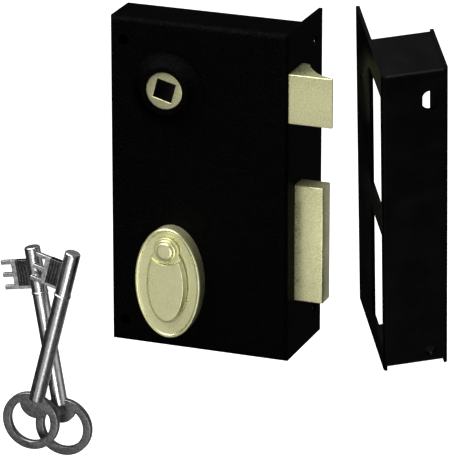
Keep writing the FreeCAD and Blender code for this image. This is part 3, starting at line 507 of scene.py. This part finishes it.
def egg(grow=0.0):
    """The flap's outline from its left horn, round the foot, to its right horn."""
    first, last = math.pi - horn_turn, math.pi * 2 + horn_turn
    turns = [first + (last - first) * i / EGG_STEPS for i in range(EGG_STEPS + 1)]
    return [(pivot.x + (EGG_WIDE + grow) * math.cos(turn),
             egg_z + (EGG_TALL + grow) * math.sin(turn)) for turn in turns]


cutter = plate("keyhole_cutter", [opening], -base_y - CUT_PAST, -rim_y + CUT_PAST, 0.0)
seat_outline = [(pivot.x + HORN, horn_z, TOP_BEND)] + egg(SEAT_GAP)[:-1]
seat = plate("cover_seat", [swept(seat_outline)], -rim_y - FIELD_SINK - SEAT_SINK,
             -rim_y + CUT_PAST, 0.0)
finish_piece(pierced(escutcheon, cutter, seat), BRASS_PRESSED, "case", "brass",
             "escutcheon", "escutcheon_rivets")

rivet_low, rivet_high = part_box("cover_pivot_rivet")
HEAD_RADIUS = (rivet_high.x - rivet_low.x) / 2
head_y = rivet_low.y
DOME_RADIUS, RIVET_SHANK, HEAD_BACK = 3.7 * MM, 1.6 * MM, 2.0 * MM
rivet = lathe("pivot_rivet", pivot.x, pivot.z, eased([
    (0.0, rivet_high.y), (RIVET_SHANK, rivet_high.y), (RIVET_SHANK, head_y + HEAD_BACK),
    (HEAD_RADIUS, head_y + HEAD_BACK), (HEAD_RADIUS, head_y + 1.15 * MM),
    (DOME_RADIUS + 0.1 * MM, head_y + 1.0 * MM), (DOME_RADIUS, head_y + 1.25 * MM),
    (DOME_RADIUS - 0.2 * MM, head_y + 0.25 * MM), (DOME_RADIUS - 1.0 * MM, head_y),
    (0.8 * MM, head_y), (0.0, head_y)], 0.35 * MM))
finish_piece(rivet, BRASS_PRESSED, "case", "brass", "cover_pivot_rivet")

EYE_HALF, EYE_DROP, EYE_BEND, EYE_THICK = 5.3 * MM, 1.5 * MM, 1.3, 0.8 * MM
PIVOT_HOLE = 1.66 * MM
tab = plate("cover_tab", [
    swept([(pivot.x + EYE_HALF, pivot.z - EYE_DROP, EYE_BEND),
           (pivot.x - EYE_HALF, pivot.z - EYE_DROP)] + egg()),
    round_outline(pivot.x, pivot.z, PIVOT_HOLE, 48)],
    -cover_back, -cover_back + EYE_THICK, 0.2 * MM)
CHAMFER_WIDE, CHAMFER_HIGH = 1.2 * MM, 1.1 * MM
shield_rings = []
for inset, y in eased([(0.2 * MM, cover_back - 0.4 * MM), (0.0, cover_back - 0.55 * MM),
                       (0.0, cover_face + CHAMFER_HIGH), (CHAMFER_WIDE, cover_face),
                       (CHAMFER_WIDE + 0.6 * MM, cover_face)], 0.14 * MM):
    flap = egg(-inset)
    shield_rings.append([(px, y, pz) for px, pz in swept([(*flap[-1], TOP_BEND)] + flap[:-1])])
shield = grid_piece("cover_shield", shield_rings)
finish_piece(joined("keyhole_cover", tab, shield), BRASS_PRESSED, "cover", "brass",
             "swivel_cover")


# ---------------------------------------------------------------- keeper

keeper = soften(clean_copy("keeper", "keeper_sheet"), 0.3 * MM, 3)
finish_piece(keeper, SATIN, "keeper_box", "satin_black", "keeper")


# ---------------------------------------------------------------- keys

SHANK_RADIUS, TIP_ABOVE, FOOT_ABOVE = 3.4 * MM, 80.6 * MM, 9.8 * MM
BOW_RADIUS, EYE_RADIUS, BOW_HALF = 12.75 * MM, 9.1 * MM, 1.4 * MM
BIT_DROP, BIT_RISE, BIT_REACH, BIT_HALF = 5.6 * MM, 12.8 * MM, 12.0 * MM, 1.0 * MM
BLOCK_RISE, BLOCK_REACH, BLOCK_HALF = 11.3 * MM, 5.2 * MM, 1.5 * MM
RIDGES, RIDGE_OVERLAP, COLLAR_PROUD = 4, 0.06 * MM, 0.25 * MM


def make_key(name):
    """Shank, bit and bow, set out from the centre of the bow along the shank."""
    ring = centre_of(f"{name}_bow")
    along = (centre_of(f"{name}_shank") - ring).normalized()
    across = Vector((0, 1, 0)).cross(along)
    upright = Matrix.LocRotScale(ring, Matrix((across, (0, 1, 0), along)).transposed(), None)
    flat = upright @ FACING

    collar = TIP_ABOVE - BIT_DROP - BIT_RISE - 1.2 * MM
    stem = [(0.0, TIP_ABOVE), (SHANK_RADIUS, TIP_ABOVE), (SHANK_RADIUS, collar),
            (SHANK_RADIUS + COLLAR_PROUD, collar - 0.15 * MM),
            (SHANK_RADIUS + COLLAR_PROUD, collar - 1.0 * MM),
            (SHANK_RADIUS, collar - 1.15 * MM), (SHANK_RADIUS, FOOT_ABOVE), (0.0, FOOT_ABOVE)]
    rings = []
    for radius, height in eased(stem, 0.9 * MM):
        radius = max(radius, LEAST_RADIUS)
        rings.append([upright @ Vector((radius * c, radius * s, height)) for c, s in around(64)])
    finish_piece(grid_piece(f"{name}_stem", rings), KEY_STEEL, name, "key_steel", f"{name}_shank")

    top, root = TIP_ABOVE - BIT_DROP, -SHANK_RADIUS + 0.3 * MM
    tip, web, tooth = -SHANK_RADIUS - BIT_REACH, -SHANK_RADIUS - BIT_REACH * 0.62, BIT_RISE * 0.14
    middle = top - BIT_RISE / 2
    teeth = [(root, top - BIT_RISE), (root, top), (tip, top), (tip, top - tooth),
             (web, top - tooth), (web, middle + tooth / 2), (tip, middle + tooth / 2),
             (tip, middle - tooth / 2), (web, middle - tooth / 2),
             (web, top - BIT_RISE + tooth), (tip, top - BIT_RISE + tooth), (tip, top - BIT_RISE)]
    comb = plate(f"{name}_teeth", [teeth], -BIT_HALF, BIT_HALF, 0.18 * MM, flat)
    finish_piece(comb, BIT_STEEL_PAINTED_LIGHT_AND_SHADE, name, "key_steel", f"{name}_bit")
    outer, ridge = -SHANK_RADIUS - BLOCK_REACH, BLOCK_REACH / RIDGES
    block = []
    for i in range(RIDGES):
        left, right = outer + ridge * i, outer + ridge * (i + 1) + RIDGE_OVERLAP
        bar = [(left, top - BLOCK_RISE), (right, top - BLOCK_RISE), (right, top), (left, top)]
        block.append(plate(f"{name}_ridge", [bar], -BLOCK_HALF, BLOCK_HALF, 0.35 * MM, flat))
    finish_piece(joined(f"{name}_block", *block), BLOCK_STEEL_PAINTED_SHADE, name, "key_steel")

    side, rise = EYE_RADIUS * 0.722, EYE_RADIUS * 0.692
    eye = swept([(-side, rise, 0.67), (side, rise, -2.344)], 40)
    bow = plate(f"{name}_ring", [round_outline(0.0, 0.0, BOW_RADIUS), eye],
                -BOW_HALF, BOW_HALF, 0.45 * MM, flat)
    finish_piece(bow, BOW_STEEL_PAINTED_SHADE, name, "key_steel", f"{name}_bow")


for key in ("front_key", "rear_key"):
    make_key(key)


# ---------------------------------------------------------------- studio and camera

LIGHT_DISTANCE = 2.0


def stage_plane(name, size, place, material):
    mesh = bpy.data.meshes.new(name)
    half = size / 2
    mesh.from_pydata([(-half, -half, 0), (half, -half, 0), (half, half, 0), (-half, half, 0)], [],
                     [(0, 1, 2, 3)])
    obj = object_from(name, mesh)
    obj.location = place
    obj.data.materials.append(material)
    return obj


def softbox(name, direction, size, power):
    """An area light that faces the lock from a direction."""
    light = bpy.data.lights.new(name, "AREA")
    light.shape, light.size, light.size_y = "RECTANGLE", *size
    light.energy = power
    obj = bpy.data.objects.new(name, light)
    obj.location = Vector(direction).normalized() * LIGHT_DISTANCE
    obj.rotation_euler = Vector(direction).to_track_quat("Z", "Y").to_euler()
    obj.visible_camera = False
    bpy.context.scene.collection.objects.link(obj)


paper = Shader("floor_paper", (0.9, 0.9, 0.9), 0.9, Specular_IOR_Level=0.0,
               Emission_Color=(1, 1, 1, 1), Emission_Strength=1.0)
paper.tint(paper.noise(3.0, 2.0), (0.89, 0.89, 0.89), (0.92, 0.92, 0.92))
floor = stage_plane("floor", 60.0, (0, 0, -1.0), paper.material)
floor.visible_glossy = False
floor.visible_diffuse = False

world = bpy.data.worlds.new("studio")
bpy.context.scene.world = world
world.use_nodes = True
sky = world.node_tree
ways = sky.nodes.new("ShaderNodeTexCoord")
parts = sky.nodes.new("ShaderNodeSeparateXYZ")
ramp = sky.nodes.new("ShaderNodeValToRGB")  # brightness from the left, -X, to the right, +X
sky.links.new(ways.outputs["Generated"], parts.inputs["Vector"])
lift = sky.nodes.new("ShaderNodeMapRange")
lift.inputs["From Min"].default_value, lift.inputs["From Max"].default_value = -1.0, 1.0
sky.links.new(parts.outputs["X"], lift.inputs["Value"])
sky.links.new(lift.outputs["Result"], ramp.inputs["Fac"])
stops = [(0.0, 0.01), (0.25, 0.03), (0.33, 0.13), (0.5, 0.20), (0.67, 0.42), (0.76, 0.04),
         (0.88, 0.04), (0.94, 0.3), (1.0, 0.3)]
for place, grey in stops:
    stop = ramp.color_ramp.elements.new(place)
    stop.color = (grey, grey, grey, 1)
ramp.color_ramp.elements.remove(ramp.color_ramp.elements[0])
sky.links.new(ramp.outputs["Color"], sky.nodes["Background"].inputs["Color"])
sky.nodes["Background"].inputs["Strength"].default_value = 1.0

softbox("front_fill", (-0.34, -0.88, -0.32), (1.2, 1.0), 1.7)
softbox("key_strip", (0.23, -0.91, -0.34), (0.8, 1.2), 12.0)
softbox("overhead", (-0.34, -0.25, 0.90), (2.4, 2.0), 100)

VIEW_AZIMUTH, VIEW_ELEVATION, VIEW_DISTANCE = math.radians(21.24), math.radians(18.93), 1.8
LENS, SENSOR, AIM_RIGHT, AIM_DOWN = 347.1, 36.0, 0.00789, 0.01864
CENTRE = Vector((0, -0.010, 0))
back = Vector((math.sin(VIEW_AZIMUTH) * math.cos(VIEW_ELEVATION),
               -math.cos(VIEW_AZIMUTH) * math.cos(VIEW_ELEVATION), math.sin(VIEW_ELEVATION)))
sideways = Vector((math.cos(VIEW_AZIMUTH), math.sin(VIEW_AZIMUTH), 0))
upwards = back.cross(sideways)
stand = CENTRE + back * VIEW_DISTANCE
aim = CENTRE + sideways * AIM_RIGHT - upwards * AIM_DOWN
camera = bpy.data.objects.new("camera", bpy.data.cameras.new("camera"))
camera.data.lens, camera.data.sensor_width = LENS, SENSOR
camera.location = stand
camera.rotation_euler = (stand - aim).to_track_quat("Z", "Y").to_euler()
bpy.context.scene.collection.objects.link(camera)
bpy.context.scene.camera = camera
bpy.context.scene.view_settings.view_transform = "Standard"
